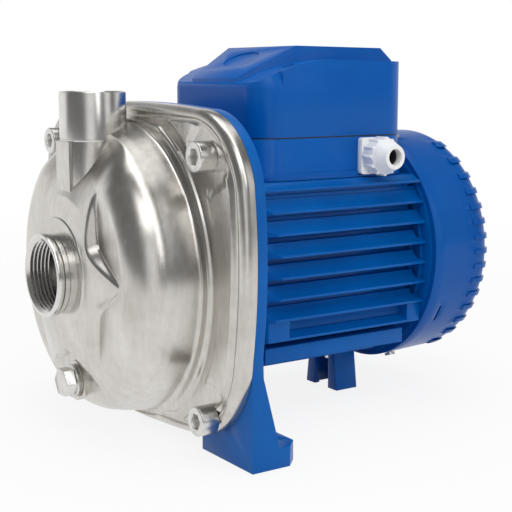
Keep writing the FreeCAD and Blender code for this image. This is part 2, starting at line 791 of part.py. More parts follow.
def fan_cover_screws():
    screws = []
    for degrees in cover_screw_turns():
        radius = cover_radius
        screw = Part.makeCylinder(3.6, 1.8, vec(cover_start + 7, 0, radius + 0.05), axis_z)
        screw = screw.fuse(Part.makeCylinder(1.9, 9, vec(cover_start + 7, 0, radius - 8.9), axis_z))
        screws.append(turn(screw, degrees))
    return grouped(screws)


def cover_brackets():
    """Lugs on the rear shield that carry the cowl screws."""
    lugs = []
    end = frame_end
    for degrees in cover_screw_turns():
        lug = block(end + 4.3, cover_start + 12, -5, 5, 50, cover_radius - cover_wall - 0.8)
        lug = lug.cut(Part.makeCylinder(1.95, 40, vec(cover_start + 7, 0, 50), axis_z))
        lugs.append(turn(lug, degrees))
    return lugs


def rear_shield_with_lugs():
    body = fused([rear_shield()] + cover_brackets())
    return body.cut(ring(cover_start + 7, cover_start + 60, 0.1, fan_radius + 3))


def box_block(x0, x1, half, z0, z1, corner):
    body = block(x0, x1, -half, half, z0, z1)
    return rounded(body, corner, lambda edge: along(edge, axis_z))


def terminal_base():
    """Open tray over the motor barrel: a skirt, a floor and posts for the lid screws."""
    outer = box_block(box_start, box_end, box_half, box_floor, box_seam - gasket / 2, box_corner)
    lip = box_block(box_start - 1, box_end + 1, box_half + 1, box_floor, box_floor + 4, box_corner)
    room = (box_start + box_wall, box_end - box_wall, box_half - box_wall)
    above = box_block(*room, box_deck, box_seam + 5, box_corner - box_wall)
    below = box_block(*room, box_floor - 5, box_deck - 3, box_corner - box_wall)
    body = fused([outer, lip]).cut([above, below])
    posts = [Part.makeCylinder(4.5, box_seam - gasket / 2 - box_deck + 1, vec(x, y, box_deck - 1), axis_z)
             for x, y in lid_screw_places()]
    body = fused([body] + posts)
    cuts = [Part.makeCylinder(8.1, 30, vec(gland_x, -box_half - 5, gland_height), axis_y),
            Part.makeCylinder(9.0, 30, vec(frame_start + 24, 22, box_floor - 5), axis_z),
            rod(frame_start - 10, frame_end + 20, bore_radius + frame_wall + running_gap),
            block(gland_x - 11.2, gland_x + 11.2, -box_half - 2, -box_half, box_floor + 1, box_floor + 5)]
    cuts += [Part.makeCylinder(1.8, 12, vec(x, y, box_seam - 12), axis_z) for x, y in lid_screw_places()]
    return body.cut(cuts)


def lid_screw_places():
    return [(x, sign * (box_half - 9)) for x in (box_start + 26, box_end - 10) for sign in (-1, 1)]


def box_gasket():
    outer = box_block(box_start + 0.5, box_end - 0.5, box_half - 0.5, box_seam - gasket / 2,
                      box_seam + gasket / 2, box_corner - 0.5)
    inner = box_block(box_start + box_wall, box_end - box_wall, box_half - box_wall, box_seam - 1,
                      box_seam + 1, box_corner - box_wall)
    return outer.cut(inner)


def lid_solid(inset):
    """Lid body: side outline pulled over the width, with a deck that falls towards the pump."""
    x0 = box_start + inset
    x1 = box_end - inset
    base = box_seam + gasket / 2
    front = box_front - inset
    shoulder = box_shoulder - inset
    profile = [
        Part.makeLine(vec(x0, 0, base), vec(x0, 0, front - 4)),
        arc(vec(x0, 0, front - 4), vec(x0 + 1.2, 0, front - 1.2), vec(x0 + 4, 0, front)),
        arc(vec(x0 + 4, 0, front), vec(x0 + 26, 0, shoulder - 3.6), vec(x0 + 50, 0, shoulder)),
        Part.makeLine(vec(x0 + 50, 0, shoulder), vec(x1, 0, shoulder - 1)),
        Part.makeLine(vec(x1, 0, shoulder - 1), vec(x1, 0, base)),
        Part.makeLine(vec(x1, 0, base), vec(x0, 0, base)),
    ]
    side = Part.Face(Part.Wire(profile)).extrude(axis_y * 2 * (box_half - inset))
    side.translate(axis_y * -(box_half - inset))
    column = box_block(x0, x1, box_half - inset, box_seam - 10, box_ridge + 10, box_corner - inset)
    body = side.common(column)
    return body.cut([corner_cutter(sign, inset) for sign in (-1, 1)])


def corner_cutter(sign, inset):
    """What the domed front corners of the lid leave out of a square-topped column."""
    reach = box_corner + 4
    radius = box_corner - inset
    height = dome_height - inset
    middle = vec(box_start + box_corner, sign * (box_half - box_corner), box_shoulder - dome_height)
    origin = FreeCAD.Vector(0, 0, 0)
    side = FreeCAD.Vector(radius, 0, 0)
    top = FreeCAD.Vector(0, 0, height)
    bend = FreeCAD.Vector(radius * 0.7071, 0, height * 0.7071)
    quarter = [arc(side, bend, top), Part.makeLine(top, origin), Part.makeLine(origin, side)]
    dome = Part.Face(Part.Wire(quarter)).revolve(origin, axis_z, 360)
    dome.translate(middle)
    room = Part.makeBox(reach, reach, dome_height + 20)
    room.translate(FreeCAD.Vector(middle.x - reach, middle.y - (reach if sign < 0 else 0), middle.z))
    return room.cut(dome)


def ridge_solid(inset):
    """Raised middle of the lid, narrow over the front slope and wide over the deck."""
    x0 = box_start + 2 + inset
    x1 = box_end - 2 - inset
    top = box_ridge - inset
    base = box_seam + 20
    profile = [vec(x0, 0, base), vec(x0, 0, box_seam + 34 - inset), vec(x0 + 6, 0, box_seam + 38 - inset),
               vec(x0 + 34, 0, top), vec(x1 - 9, 0, top - 0.6), vec(x1, 0, box_shoulder - inset),
               vec(x1, 0, base)]
    body = Part.Face(Part.makePolygon(profile + profile[:1])).extrude(axis_y * 2 * ridge_half)
    body.translate(axis_y * -ridge_half)
    wide = ridge_half - inset
    narrow = ridge_nose - inset
    corners = [vec(x0, -narrow, 0), vec(x0 + 36, -wide, 0), vec(x1, -wide, 0), vec(x1, wide, 0),
               vec(x0 + 36, wide, 0), vec(x0, narrow, 0)]
    plan = Part.Face(Part.makePolygon(corners + corners[:1])).extrude(axis_z * 200)
    return body.common(plan)


def terminal_lid():
    outer = fused([lid_solid(0.0), ridge_solid(0.0)])
    inner = fused([lid_solid(box_wall), ridge_solid(box_wall)])
    room = (box_start + box_wall, box_end - box_wall, box_half - box_wall)
    deep = box_block(*room, box_seam - 5, box_seam + 4, box_corner - box_wall)
    body = outer.cut(inner.fuse(deep))
    well_top = box_seam + 8
    tubes = []
    wells = []
    for x, y in lid_screw_places():
        tubes.append(Part.makeCylinder(5.0, 60, vec(x, y, box_seam + gasket / 2), axis_z))
        wells.append(Part.makeCylinder(3.6, 80, vec(x, y, well_top), axis_z))
        wells.append(Part.makeCylinder(2.1, 80, vec(x, y, box_seam - 1), axis_z))
    body = fused([body] + [tube.common(outer) for tube in tubes])
    emblem = Part.makeCylinder(9.5, 1.2, FreeCAD.Vector(0, 0, 0), axis_z)
    stretch = FreeCAD.Matrix()
    stretch.scale(1.0, 1.6, 1.0)
    emblem = emblem.transformGeometry(stretch)
    slope = math.degrees(math.atan2(box_ridge - box_seam - 38, 28))
    emblem.rotate(FreeCAD.Vector(0, 0, 0), axis_y, -slope)
    middle = vec(box_start + 22, 0, (box_ridge + box_seam + 38) / 2 - 0.9)
    emblem.translate(middle)
    return body.cut(wells + [emblem])


def lid_screws():
    screws = []
    for x, y in lid_screw_places():
        head = Part.makeCylinder(3.3, 2.6, vec(x, y, box_seam + 8.02), axis_z)
        shank = Part.makeCylinder(1.75, 20, vec(x, y, box_seam - 11.9), axis_z)
        slot = block(x - 4, x + 4, y - 0.5, y + 0.5, box_seam + 9.4, box_seam + 12)
        screws.append(fused([head, shank]).cut(slot))
    return grouped(screws)


def capacitor():
    front = vec(capacitor_start, capacitor_side, capacitor_height())
    back = vec(capacitor_start + capacitor_length, capacitor_side, capacitor_height())
    can = Part.makeCylinder(capacitor_radius, capacitor_length, front, axis_x)
    tail = Part.makeCylinder(4, 6, back, axis_x)
    return fused([rounded(can, 1.5, lambda edge: edge.Closed and edge.Length > 90), tail])


def capacitor_height():
    return box_deck + capacitor_radius + 1.6


def capacitor_clamp():
    x0 = capacitor_start + 0.4 * capacitor_length
    side = capacitor_side
    wall = ring(x0, x0 + 10, capacitor_radius + fit_gap, capacitor_radius + 1.5, side, capacitor_height())
    base = block(x0, x0 + 10, side - 10, side + 10, box_deck, box_deck + 2.5)
    base = base.cut(rod(x0 - 1, x0 + 11, capacitor_radius + 1, side, capacitor_height()))
    return wall.fuse(base)


def terminal_board():
    x0 = box_start + 28
    plate = block(x0, x0 + 44, -34, -6, box_deck, box_deck + 5)
    ribs = [block(x0 + 14.2 * k, x0 + 1.4 + 14.2 * k, -34, -6, box_deck + 4, box_deck + 10) for k in range(4)]
    holes = [Part.makeCylinder(1.95, 20, vec(x, y, box_deck - 1), axis_z) for x, y in stud_places()]
    return fused([plate] + ribs).cut(holes)


def stud_places():
    return [(box_start + 35.8 + 14.2 * k, y) for k in range(3) for y in (-27, -13)]


def terminal_studs():
    studs = []
    for x, y in stud_places():
        shank = Part.makeCylinder(1.9, 12, vec(x, y, box_deck + 0.1), axis_z)
        nut = Part.makeCylinder(3.6, 3, vec(x, y, box_deck + 5), axis_z)
        studs.append(fused([shank, nut]))
    return grouped(studs)


def earth_screw():
    head = Part.makeCylinder(4.0, 3, vec(box_end - 22, 8, box_deck), axis_z)
    slot = block(box_end - 27, box_end - 17, 7.5, 8.5, box_deck + 2, box_deck + 5)
    return head.cut(slot)


def gland_rod(y0, y1, radius):
    """Cylinder along the gland, distances outwards from the box wall."""
    start = vec(gland_x, -box_half - y1, gland_height)
    return Part.makeCylinder(radius, y1 - y0, start, axis_y)


def gland_body():
    plate = block(gland_x - 11, gland_x + 11, -box_half - 4, -box_half, gland_height - 11, gland_height + 11)
    plate = rounded(plate, 2.0, lambda edge: along(edge, axis_y))
    stem = gland_rod(-9, 1, 8.0)
    neck = gland_rod(4, 12, 8.2)
    body = fused([plate, stem, neck])
    return body.cut(gland_rod(-10, 13, gland_bore + 1.6))


def gland_seal():
    body = gland_rod(6, 17, gland_bore + 1.5)
    return body.cut(gland_rod(5, 18, gland_bore - 0.6))


def gland_nut():
    skirt = gland_rod(4.3, 14, 10.6)
    grips = []
    for k in range(12):
        t = math.radians(30 * k)
        at = vec(gland_x + 10.6 * math.cos(t), -box_half - 13, gland_height + 10.6 * math.sin(t))
        grips.append(Part.makeCylinder(1.1, 8, at, axis_y))
    dome = Part.makeCone(7.2, 10.4, 8, vec(gland_x, -box_half - 22, gland_height), axis_y)
    body = fused([skirt, dome] + grips)
    body = body.cut(gland_rod(3, 12.3, 8.5))
    return body.cut(gland_rod(3, 17.2, gland_bore + 1.8)).cut(gland_rod(3, 30, gland_bore))


def tie_rods():
    rods = []
    end = frame_end
    for y, z in rod_places():
        shank = rod(frame_start - 8, end + 4.2, 2.0, y, z)
        head = hexagon(end + 4.05, end + 7.5, 7, y, z)
        rods.append(fused([shank, head]))
    return grouped(rods)


def main():
    os.makedirs("parts", exist_ok=True)
    rod_holes = [rod(frame_start - 12, frame_end + 6, 2.3, y, z) for y, z in rod_places()]
    ears = [rod(frame_end, frame_end + 4, ear_radius, y, z) for y, z in rod_places()]
    front_ears = [rod(frame_start - 10, frame_start, ear_radius, y, z) for y, z in rod_places()]
    cover_hole = Part.makeCylinder(2.0, 40, vec(cover_start + 7, 0, 50), axis_z)
    cover_holes = [turn(cover_hole, degrees) for degrees in cover_screw_turns()]
    nodes = {
        "pump_casing": pump_casing(),
        "suction_socket": suction_socket(),
        "discharge_socket": discharge_socket(),
        "neck_ring": neck_ring(),
        "drain_boss": drain_boss(),
        "drain_plug": drain_plug(),
        "casing_screws": casing_screws(),
        "seal_disc": seal_disc(),
        "casing_o_ring": casing_o_ring(),
        "impeller": impeller(),
        "impeller_washer": impeller_washer(),
        "impeller_nut": impeller_nut(),
        "seal_rotor": seal_rotor(),
        "seal_spring": seal_spring(),
        "seal_face": seal_face(),
        "seal_seat": seal_seat(),
        "seal_seat_cup": seal_seat_cup(),
        "slinger": slinger(),
        "motor_shaft": motor_shaft(),
        "front_bearing_outer": bearing_outer(bearing_start),
        "front_bearing_inner": bearing_race(bearing_start),
        "front_bearing_balls": bearing_balls(bearing_start),
        "rear_bearing_outer": bearing_outer(rear_bearing_start()),
        "rear_bearing_inner": bearing_race(rear_bearing_start()),
        "rear_bearing_balls": bearing_balls(rear_bearing_start()),
        "motor_adapter": fused([motor_adapter()] + front_ears).cut(rod_holes),
        "motor_frame": motor_frame().cut(rod_holes),
        "rear_foot": rear_foot(),
        "rear_foot_screw": rear_foot_screw(),
        "stator_core": stator_core(),
        "stator_windings": stator_windings(),
        "rotor_core": rotor_core(),
        "rear_shield": fused([rear_shield_with_lugs()] + ears).cut(rod_holes),
        "wave_washer": wave_washer(),
        "tie_rods": tie_rods(),
        "cooling_fan": cooling_fan(),
        "fan_clip": fan_clip(),
        "fan_cover": fan_cover().cut(cover_holes),
        "fan_cover_screws": fan_cover_screws(),
        "terminal_base": terminal_base(),
        "box_gasket": box_gasket(),
        "terminal_lid": terminal_lid(),
        "lid_screws": lid_screws(),
        "capacitor": capacitor(),
        "capacitor_clamp": capacitor_clamp(),
        "terminal_board": terminal_board(),
        "terminal_studs": terminal_studs(),
        "earth_screw": earth_screw(),
        "gland_body": gland_body(),
        "gland_seal": gland_seal(),
        "gland_nut": gland_nut(),
    }
    for name, shape in nodes.items():
        shape.exportStep("parts/" + name + ".step")
        print(name, len(shape.Solids), shape.isValid(), round(shape.Volume), [round(v, 1) for v in (
            shape.BoundBox.XMin, shape.BoundBox.YMin, shape.BoundBox.ZMin,
            shape.BoundBox.XMax, shape.BoundBox.YMax, shape.BoundBox.ZMax)])


main()
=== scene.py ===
import bpy
import json
import math
from mathutils import Matrix, Vector


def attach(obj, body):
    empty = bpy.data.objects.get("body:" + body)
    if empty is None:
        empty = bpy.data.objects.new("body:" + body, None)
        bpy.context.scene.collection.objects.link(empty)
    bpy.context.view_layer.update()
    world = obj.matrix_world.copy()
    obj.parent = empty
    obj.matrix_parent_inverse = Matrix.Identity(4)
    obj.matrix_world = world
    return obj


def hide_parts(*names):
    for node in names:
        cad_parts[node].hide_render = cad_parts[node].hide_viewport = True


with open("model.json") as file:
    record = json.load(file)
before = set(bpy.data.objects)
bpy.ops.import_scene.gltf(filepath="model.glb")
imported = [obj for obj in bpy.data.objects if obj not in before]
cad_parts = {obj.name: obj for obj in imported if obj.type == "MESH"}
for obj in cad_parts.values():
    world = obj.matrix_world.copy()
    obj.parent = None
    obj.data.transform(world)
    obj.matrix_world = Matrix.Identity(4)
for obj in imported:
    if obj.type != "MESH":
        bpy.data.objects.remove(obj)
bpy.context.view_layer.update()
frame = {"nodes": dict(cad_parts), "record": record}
print("frame loaded with", len(frame["nodes"]), "nodes")

# Main places, in metres: x from the joint face of the casing, z from the shaft
jointX = -0.020
shaftZ = 0.094
shaftPoint = Vector((jointX, 0, shaftZ))
mergeGap = 1e-6


def mm(*values):
    return tuple(value / 1000 for value in values)


def place(x, y, z):          # millimetres from the joint face and the shaft
    return Vector((jointX + x / 1000, y / 1000, shaftZ + z / 1000))


# Shader maths

class Socket:                # wraps a socket, so that Python maths adds Math nodes
    def __init__(self, shader, out):
        self.shader = shader
        self.out = out

    def maths(self, operation, a, b):
        return self.shader.maths(operation, a, b)

    def __add__(self, other):
        return self.maths("ADD", self, other)

    def __rsub__(self, other):
        return self.maths("SUBTRACT", other, self)

    def __mul__(self, other):
        return self.maths("MULTIPLY", self, other)


class Shader:                # one material, with a method that adds any node
    def __init__(self, name, owner=None):
        self.material = owner or bpy.data.materials.new(name)
        self.material.use_nodes = True
        self.tree = self.material.node_tree
        self.skin = self.tree.nodes.get("Principled BSDF")

    def node(self, kind, settings=None, values=None, output=0):
        new = self.tree.nodes.new(kind)
        for key, value in (settings or {}).items():
            setattr(new, key, value)
        for key, value in (values or {}).items():
            self.feed(new.inputs[key], value)
        return new if output is None else Socket(self, new.outputs[output])

    def maths(self, operation, a, b):
        return self.node("ShaderNodeMath", {"operation": operation}, {0: a, 1: b})

    def feed(self, socket, value):
        if isinstance(value, Socket):
            self.tree.links.new(value.out, socket)
        elif hasattr(value, "__len__") and socket.type == "RGBA" and len(value) == 3:
            socket.default_value = (*value, 1)
        else:
            socket.default_value = value

    def spots(self, kind="Object"):
        return self.node("ShaderNodeTexCoord", output=kind)

    def dot(self, vector, direction):
        return self.node("ShaderNodeVectorMath", {"operation": "DOT_PRODUCT"},
                         {0: vector, 1: direction}, "Value")

    def noise(self, scale, detail, roughness, stretch=None):
        where = self.spots()
        if stretch:
            where = self.node("ShaderNodeMapping", None, {0: where, "Scale": stretch})
        return self.node("ShaderNodeTexNoise", None, {"Vector": where, "Scale": scale,
                                                      "Detail": detail, "Roughness": roughness})

    def between(self, mask, low, high):      # runs from low to high with the mask
        return self.node("ShaderNodeMapRange", None, {0: mask, 3: low, 4: high})

    def spread(self, mask, start, end):      # stretched, so that start is 0 and end is 1
        return self.node("ShaderNodeMapRange", None, {0: mask, 1: start, 2: end})

    def blend(self, mask, first, second):
        return self.node("ShaderNodeMix", {"data_type": "RGBA"},
                         {0: mask, 6: first, 7: second}, output=2)

    def bump(self, height, strength, distance=0.0002):
        return self.node("ShaderNodeBump", None, {"Strength": strength, "Distance": distance,
                                                  "Height": height})

    def set(self, **values):
        for key, value in values.items():
            self.feed(self.skin.inputs[key.replace("_", " ")], value)
        return self.material


# Finishes

# Satin stainless: fine grain and soft clouding
def brushedSteel(name, look):
    shader = Shader(name)
    cloud = shader.noise(look["cloud"], 5.0, 0.6)
    grain = shader.noise(look["grain"], 3.0, 0.7, look["stretch"])
    fine = shader.noise(look["grain"] * 6, 2.0, 0.5)
    tone = shader.spread(cloud * 0.7 + grain * 0.3, 0.32, 0.68)
    colour = shader.blend(tone, look["dark"], look["pale"])
    rough = shader.between(grain * 0.5 + cloud * 0.5, *look["gloss"])
    height = grain * 0.7 + fine * 0.3
    return shader.set(Base_Color=colour, Roughness=rough, Metallic=1.0,
                      Normal=shader.bump(height, look["bump"]))


satin = {"coatRough": 0.12, "specular": 0.16}


# Satin paint: faint orange peel and a soft change of tone
def paint(name, look):
    shader = Shader(name)
    peel = shader.noise(look["peel"], 2.0, 0.5)
    cloud = shader.noise(look["cloud"], 4.0, 0.6)
    tone = shader.spread(cloud, 0.3, 0.7)
    colour = shader.blend(tone, look["dark"], look["pale"])
    rough = shader.between(cloud * 0.6 + peel * 0.4, *look["gloss"])
    return shader.set(Base_Color=colour, Roughness=rough, Coat_Weight=look["coat"],
                      Coat_Roughness=satin["coatRough"], Specular_IOR_Level=satin["specular"],
                      Normal=shader.bump(peel, look["bump"]))


# Moulded plastic or rubber: a fine spark texture
def moulded(name, look):
    shader = Shader(name)
    grain = shader.noise(look["grain"], 3.0, 0.6)
    cloud = shader.noise(look["cloud"], 3.0, 0.5)
    colour = shader.blend(shader.spread(cloud, 0.3, 0.7), look["dark"], look["pale"])
    rough = shader.between(grain, *look["gloss"])
    return shader.set(Base_Color=colour, Roughness=rough,
                      Normal=shader.bump(grain, look["bump"]))


steelLook = {"dark": (0.50, 0.475, 0.44), "pale": (0.72, 0.70, 0.665), "cloud": 28, "grain": 260,
             "stretch": (1, 1, 0.25), "gloss": (0.21, 0.31), "bump": 0.08}
portLook = {"dark": (0.60, 0.59, 0.57), "pale": (0.80, 0.79, 0.77), "cloud": 40, "grain": 500,
            "stretch": (1, 1, 3), "gloss": (0.20, 0.28), "bump": 0.01}
boltLook = {"dark": (0.55, 0.54, 0.52), "pale": (0.78, 0.77, 0.75), "cloud": 120, "grain": 900,
            "stretch": (0.3, 1, 1), "gloss": (0.20, 0.32), "bump": 0.06}
darkSteelLook = {"dark": (0.10, 0.10, 0.105), "pale": (0.20, 0.20, 0.21), "cloud": 60, "grain": 900,
                 "stretch": (6, 1, 1), "gloss": (0.35, 0.5), "bump": 0.2}
copperLook = {"dark": (0.45, 0.17, 0.07), "pale": (0.72, 0.34, 0.16), "cloud": 90, "grain": 700,
              "stretch": (1, 1, 1), "gloss": (0.3, 0.45), "bump": 0.15}
castingLook = {"dark": (0.0, 0.090, 0.360), "pale": (0.0, 0.118, 0.440), "cloud": 18, "peel": 900,
               "gloss": (0.30, 0.42), "coat": 0.06, "bump": 0.16}
coverLook = {"dark": (0.0, 0.072, 0.325), "pale": (0.0, 0.090, 0.375), "cloud": 12, "peel": 500,
             "gloss": (0.26, 0.36), "coat": 0.08, "bump": 0.08}
boxLook = {"dark": (0.0, 0.086, 0.375), "pale": (0.0, 0.106, 0.430), "cloud": 14, "peel": 700,
           "gloss": (0.26, 0.38), "coat": 0.06, "bump": 0.06}
whiteLook = {"dark": (0.84, 0.85, 0.85), "pale": (0.90, 0.905, 0.91), "cloud": 60, "grain": 600,
             "gloss": (0.34, 0.46), "bump": 0.06}
blackLook = {"dark": (0.018, 0.018, 0.02), "pale": (0.04, 0.04, 0.043), "cloud": 60, "grain": 700,
             "gloss": (0.45, 0.6), "bump": 0.12}
ceramicLook = {"dark": (0.72, 0.69, 0.62), "pale": (0.84, 0.82, 0.77), "cloud": 80, "grain": 500,
               "gloss": (0.2, 0.3), "bump": 0.04}

finishes = {
    "casing_steel": brushedSteel("satinPressedSteel", steelLook),
    "port_steel": brushedSteel("turnedSteel", portLook),
    "bolt_steel": brushedSteel("fastenerSteel", boltLook),
    "impeller_steel": brushedSteel("impellerSteel", steelLook),
    "bearing_steel": brushedSteel("groundSteel", portLook),
    "lamination": brushedSteel("stackedSteel", darkSteelLook),
    "copper": brushedSteel("copperWire", copperLook),
    "blue_casting": paint("blueCasting", castingLook),
    "blue_cover": paint("blueCowl", coverLook),
    "blue_plastic": paint("blueBox", boxLook),
    "white_plastic": moulded("whiteNylon", whiteLook),
    "rubber": moulded("blackRubber", blackLook),
    "seal_carbon": moulded("sealCarbon", blackLook),
    "seal_ceramic": moulded("sealCeramic", ceramicLook),
    "fan_plastic": moulded("darkPlastic", blackLook),
}
slotOf = {part["node"]: part["material_slot"] for part in frame["record"]["subparts"]}
for node, thing in frame["nodes"].items():
    thing.data.materials.clear()
    thing.data.materials.append(finishes[slotOf[node]])
print("finishes made")


# Modelling helpers

def clearSelection():
    if bpy.context.mode != "OBJECT":
        bpy.ops.object.mode_set(mode="OBJECT")
    bpy.ops.object.select_all(action="DESELECT")


def pick(thing):
    clearSelection()
    thing.select_set(True)
    bpy.context.view_layer.objects.active = thing


def applyAll(thing):
    pick(thing)
    for modifier in list(thing.modifiers):
        bpy.ops.object.modifier_apply(modifier=modifier.name)


def roundEdges(thing, width, steps, angle):
    bevel = thing.modifiers.new("edges", "BEVEL")
    bevel.width = width / 1000
    bevel.segments = steps
    bevel.limit_method = "ANGLE"
    bevel.angle_limit = math.radians(angle)
    applyAll(thing)


def smooth(thing, angle):
    pick(thing)
    bpy.ops.object.shade_smooth_by_angle(angle=math.radians(angle))


def finishPiece(thing, name, slot, body, nodes=()):
    thing.name = name
    thing.data.name = name
    thing.data.materials.clear()
    thing.data.materials.append(finishes[slot])
    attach(thing, body)
    if nodes:
        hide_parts(*nodes)
    return thing


# A merged copy of a CAD node with its sharp edges rounded
def softened(node, width, slot, body="housing", angle=35, steps=2, flat=0.5, shade=32, shape=None):
    copy = frame["nodes"][node].copy()
    copy.data = copy.data.copy()
    for key in list(copy.keys()):
        del copy[key]
    bpy.context.scene.collection.objects.link(copy)
    copy.parent = None
    pick(copy)
    bpy.ops.object.mode_set(mode="EDIT")
    bpy.ops.mesh.select_all(action="SELECT")
    bpy.ops.mesh.remove_doubles(threshold=mergeGap)
    bpy.ops.mesh.dissolve_limited(angle_limit=math.radians(flat))
    bpy.ops.object.mode_set(mode="OBJECT")
    if shape:
        shape(copy)
    roundEdges(copy, width, steps, angle)
    smooth(copy, shade)
    return finishPiece(copy, node + "_finished", slot, body, [node])


# Stage

stageLook = {"floor": (0.86, 0.86, 0.86), "size": 8.0, "edge": 0.8, "drop": 0.0004, "rough": 0.9,
             "white": 0.86, "far": (0.45, 1.1), "yaw": 34.0, "room": 0.64, "dark": 0.17,
             "backdrop": {"ahead": (-0.05, 0.15), "height": (0.20, 0.62)},
             "panel": {"ahead": (0.0, 0.1), "side": (0.14, 0.36), "height": (0.35, 0.6),
                       "level": 0.85}}


# The floor looks near white to the camera and in the metal, and keeps part of the shadow
def makeFloor(look):
    yaw = math.radians(look["yaw"])
    behind = look["size"] / 2 - look["edge"]
    middle = (behind * math.sin(yaw), behind * math.cos(yaw), -look["drop"])
    bpy.ops.mesh.primitive_plane_add(size=look["size"], rotation=(0, 0, -yaw), location=middle)
    bpy.ops.object.transform_apply(location=True, rotation=True, scale=True)
    floor = bpy.context.object
    floor.name = "floor"
    shader = Shader("paleFloor")
    shader.set(Base_Color=look["floor"], Roughness=look["rough"])
    camera = shader.node("ShaderNodeLightPath", output="Is Camera Ray")
    glossy = shader.node("ShaderNodeLightPath", output="Is Glossy Ray")
    away = shader.node("ShaderNodeVectorMath", {"operation": "LENGTH"}, {0: shader.spots()},
                       "Value")
    fade = shader.node("ShaderNodeMapRange", None, {0: away, 1: look["far"][0], 2: look["far"][1],
                                                    3: look["white"], 4: 1.0})
    share = shader.maths("MAXIMUM", camera, glossy) * fade
    glow = shader.node("ShaderNodeEmission", None, {"Color": (1, 1, 1), "Strength": 1.0})
    skin = Socket(shader, shader.skin.outputs[0])
    mixed = shader.node("ShaderNodeMixShader", None, {0: share, 1: skin, 2: glow})
    shader.tree.links.new(mixed.out, shader.tree.nodes["Material Output"].inputs[0])
    floor.data.materials.append(shader.material)


# White for the camera. The metal sees a dim room, a white backdrop behind the pump and a panel
# behind the camera. All else gets plain light.
def makeWorld(look):
    world = bpy.data.worlds.new("studio")
    bpy.context.scene.world = world
    shader = Shader("studio", world)
    shader.tree.nodes.clear()
    spots = shader.spots("Generated")
    height = shader.node("ShaderNodeSeparateXYZ", None, {0: spots}, 2)
    yaw = math.radians(look["yaw"])
    ahead = shader.dot(spots, (math.sin(yaw), math.cos(yaw), 0))
    aside = shader.maths("ABSOLUTE", shader.dot(spots, (-math.cos(yaw), math.sin(yaw), 0)), 0)
    far, near, room = look["backdrop"], look["panel"], look["room"]
    backdrop = shader.spread(ahead, *far["ahead"]) * (1 - shader.spread(height, *far["height"]))
    panel = shader.spread(ahead * -1, *near["ahead"]) * (1 - shader.spread(aside, *near["side"]))
    panel = panel * (1 - shader.spread(height, *near["height"])) * near["level"]
    level = shader.between(shader.maths("MAXIMUM", backdrop, panel), look["dark"], 1.0)
    sky = shader.node("ShaderNodeBackground", None, {0: shader.blend(level, (0, 0, 0), (1, 1, 1))})
    plain = shader.node("ShaderNodeBackground", None, {0: (room, room, room)})
    white = shader.node("ShaderNodeBackground", None, {0: (1, 1, 1)})
    paths = [shader.node("ShaderNodeLightPath", output=kind)
             for kind in ("Is Glossy Ray", "Is Transmission Ray", "Is Camera Ray")]
    mixed = plain
    for path, light in zip(paths, (sky, sky, white)):
        mixed = shader.node("ShaderNodeMixShader", None, {0: path, 1: mixed, 2: light})
    shader.node("ShaderNodeOutputWorld", None, {0: mixed}, None)


def makeLamp(name, spot, aim, size, power):
    lamp = bpy.data.lights.new(name, "AREA")
    lamp.shape = "RECTANGLE"
    lamp.size, lamp.size_y = size
    lamp.energy = power
    thing = bpy.data.objects.new(name, lamp)
    bpy.context.scene.collection.objects.link(thing)
    thing.location = spot
    thing.rotation_euler = (Vector(aim) - Vector(spot)).to_track_quat("-Z", "Y").to_euler()


# A long narrow lamp from one point to another, turned to the pump
def makeStrip(name, first, last, aim, width, power):
    first, last = Vector(first), Vector(last)
    makeLamp(name, (first + last) / 2, aim, (width, (first - last).length), power)
    thing = bpy.data.objects[name]
    back = (thing.location - Vector(aim)).normalized()
    along = (first - last) - back * (first - last).dot(back)
    along.normalize()
    thing.rotation_euler = Matrix((along.cross(back), along, back)).transposed().to_euler()


cameraLook = {"spot": (-0.330, -0.579, 0.204), "yaw": 34.0, "pitch": 9.1, "focal": 1125.0,
              "picture": 512.0, "sensor": 36.0, "nearest": 0.01}


def makeCamera(look):
    camera = bpy.data.cameras.new("camera")
    camera.sensor_width = look["sensor"]
    camera.lens = look["focal"] / look["picture"] * look["sensor"]
    camera.clip_start = look["nearest"]
    thing = bpy.data.objects.new("camera", camera)
    bpy.context.scene.collection.objects.link(thing)
    thing.location = look["spot"]
    thing.rotation_euler = (math.radians(90 - look["pitch"]), 0, math.radians(-look["yaw"]))
    bpy.context.scene.camera = thing


lampAim = (0, 0, 0.1)
lampsLook = {
    "keyLamp": {"spot": (-0.9, -1.1, 1.5), "size": (0.9, 0.9), "power": 5},
    "sideLamp": {"spot": (0.6, -1.3, 0.7), "size": (0.5, 1.0), "power": 1.2},
    "topLamp": {"spot": (0.2, 0.2, 1.6), "size": (1.2, 1.2), "power": 5},
}
stripLook = {"first": (-0.08, 0.55, 1.45), "last": (-0.2, -1.4, 0.4), "aim": lampAim,
             "width": 0.2, "power": 3.4}

makeFloor(stageLook)
makeWorld(stageLook)
for name, look in lampsLook.items():
    makeLamp(name, look["spot"], lampAim, look["size"], look["power"])
makeStrip("stripLamp", **stripLook)
makeCamera(cameraLook)
print("stage, lamps and camera set")


# Shape helpers

# Points of an arc through three points, for profiles
def arcThrough(start, middle, end, count):
    (ax, ay), (bx, by), (cx, cy) = start, middle, end
    d = 2 * (ax * (by - cy) + bx * (cy - ay) + cx * (ay - by))
    a, b, c = ax * ax + ay * ay, bx * bx + by * by, cx * cx + cy * cy
    ux = (a * (by - cy) + b * (cy - ay) + c * (ay - by)) / d
    uy = (a * (cx - bx) + b * (ax - cx) + c * (bx - ax)) / d
    radius = math.hypot(ax - ux, ay - uy)
    first = math.atan2(ay - uy, ax - ux)
    half = math.remainder(math.atan2(by - uy, bx - ux) - first, math.tau)
    last = half + math.remainder(math.atan2(cy - uy, cx - ux) - first - half, math.tau)
    turns = [first + last * k / count for k in range(count + 1)]
    return [(ux + radius * math.cos(turn), uy + radius * math.sin(turn)) for turn in turns]


